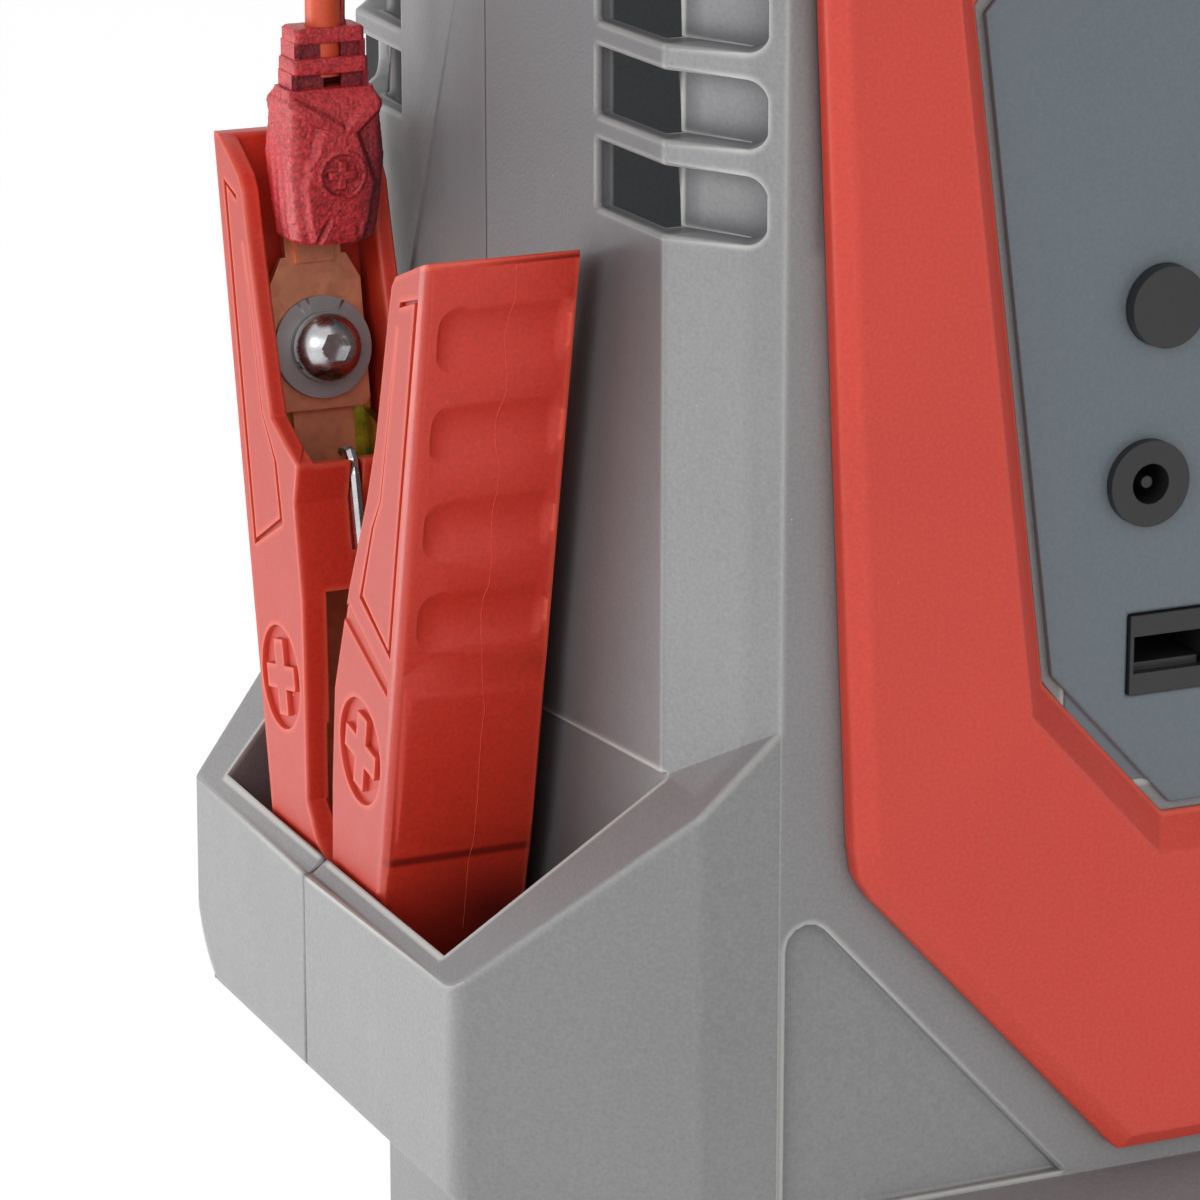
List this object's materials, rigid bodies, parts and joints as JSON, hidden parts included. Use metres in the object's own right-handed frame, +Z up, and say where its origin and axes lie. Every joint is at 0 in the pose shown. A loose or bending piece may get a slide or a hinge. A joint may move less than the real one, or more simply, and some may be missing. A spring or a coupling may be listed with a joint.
{
  "type": "jump starter pack",
  "caption": "Upright portable jump starter with a red front frame, side holsters for spring clamps and leads stored on its back.",
  "frame": {"origin": "under the middle of the housing, on the surface the feet stand on", "axes": "+Z up, front panel towards -Y, red clamp towards -X, black clamp towards +X"},
  "size_m": [0.2924, 0.168, 0.3535],
  "materials": {
    "housing_grey": "fine moulded texture",
    "frame_red": "smooth moulded",
    "panel_grey": "smooth moulded",
    "black_plastic": "fine moulded texture",
    "display": "gloss tinted window",
    "circuit": "lacquered board",
    "steel": "plated",
    "clear_lens": "clear polycarbonate",
    "reflector": "metallised plastic",
    "rubber_black": "matte",
    "battery_case": "moulded case",
    "clamp_red": "satin moulded",
    "clamp_black": "satin moulded",
    "boot_wine": "coarse moulded",
    "cable_red": "smooth insulation",
    "cable_black": "smooth insulation",
    "copper": "bare copper plate",
    "zinc": "yellow zinc plate"
  },
  "bodies": {
    "pack": {"front_housing": "housing_grey", "rear_housing": "housing_grey", "front_frame": "frame_red", "control_panel": "panel_grey", "display_window": "display", "display_board": "circuit", "switch_body": "black_plastic", "tact_switches": "black_plastic", "main_board": "circuit", "board_screws": "steel", "usb_ports": "black_plastic", "outlet_12v": "black_plastic", "cap_hinge_pin": "steel", "charge_inlet": "black_plastic", "lamp_lens": "clear_lens", "lamp_reflector": "reflector", "lamp_board": "circuit", "handle_grip": "rubber_black", "feet": "rubber_black", "rear_bumpers": "rubber_black", "housing_screws": "steel", "battery": "battery_case", "battery_bracket": "steel", "bracket_screws": "steel", "cable_clips": "rubber_black", "red_gland": "cable_red", "black_gland": "rubber_black", "red_cable": "cable_red", "black_cable": "cable_black", "red_boot": "boot_wine", "black_boot": "rubber_black", "red_lug": "copper", "black_lug": "copper", "red_lug_screw": "steel", "black_lug_screw": "steel", "red_washers": "steel", "black_washers": "steel", "red_rear_handle": "clamp_red", "black_rear_handle": "clamp_black", "red_rear_jaw": "copper", "black_rear_jaw": "copper", "red_liner": "zinc", "black_liner": "zinc", "red_pivot_pin": "steel", "black_pivot_pin": "steel", "red_spring": "steel", "black_spring": "steel"},
    "knob": {"power_knob": "black_plastic"},
    "test_key": {"test_button": "black_plastic"},
    "light_key": {"light_button": "black_plastic"},
    "cap": {"outlet_cap": "black_plastic"},
    "red_grip": {"red_front_handle": "clamp_red", "red_front_jaw": "copper"},
    "black_grip": {"black_front_handle": "clamp_black", "black_front_jaw": "copper"}
  },
  "joints": [
    {"name": "knob_turn", "type": "hinge", "parent": "pack", "child": "knob", "pos_m": [0, -0.08, 0.204], "axis": [0, 1, 0], "range_deg": [-60, 60]},
    {"name": "test_press", "type": "slide", "parent": "pack", "child": "test_key", "axis": [0, 1, 0], "range_m": [0, 0.0015], "stiffness_N_per_m": 600, "springref_m": -0.002},
    {"name": "light_press", "type": "slide", "parent": "pack", "child": "light_key", "axis": [0, 1, 0], "range_m": [0, 0.0015], "stiffness_N_per_m": 600, "springref_m": -0.002},
    {"name": "cap_lift", "type": "hinge", "parent": "pack", "child": "cap", "pos_m": [0.024, -0.0788, 0.19], "axis": [-1, 0, 0], "range_deg": [0, 120]},
    {"name": "red_squeeze", "type": "hinge", "parent": "pack", "child": "red_grip", "pos_m": [-0.1295, 0.0025, 0.118], "axis": [-1, 0, 0], "range_deg": [0, 15], "stiffness_Nm_per_rad": 3, "springref_deg": -17.19, "deforming": ["red_spring"]},
    {"name": "black_squeeze", "type": "hinge", "parent": "pack", "child": "black_grip", "pos_m": [0.1295, 0.0025, 0.118], "axis": [-1, 0, 0], "range_deg": [0, 15], "stiffness_Nm_per_rad": 3, "springref_deg": -17.19, "deforming": ["black_spring"]}
  ]
}
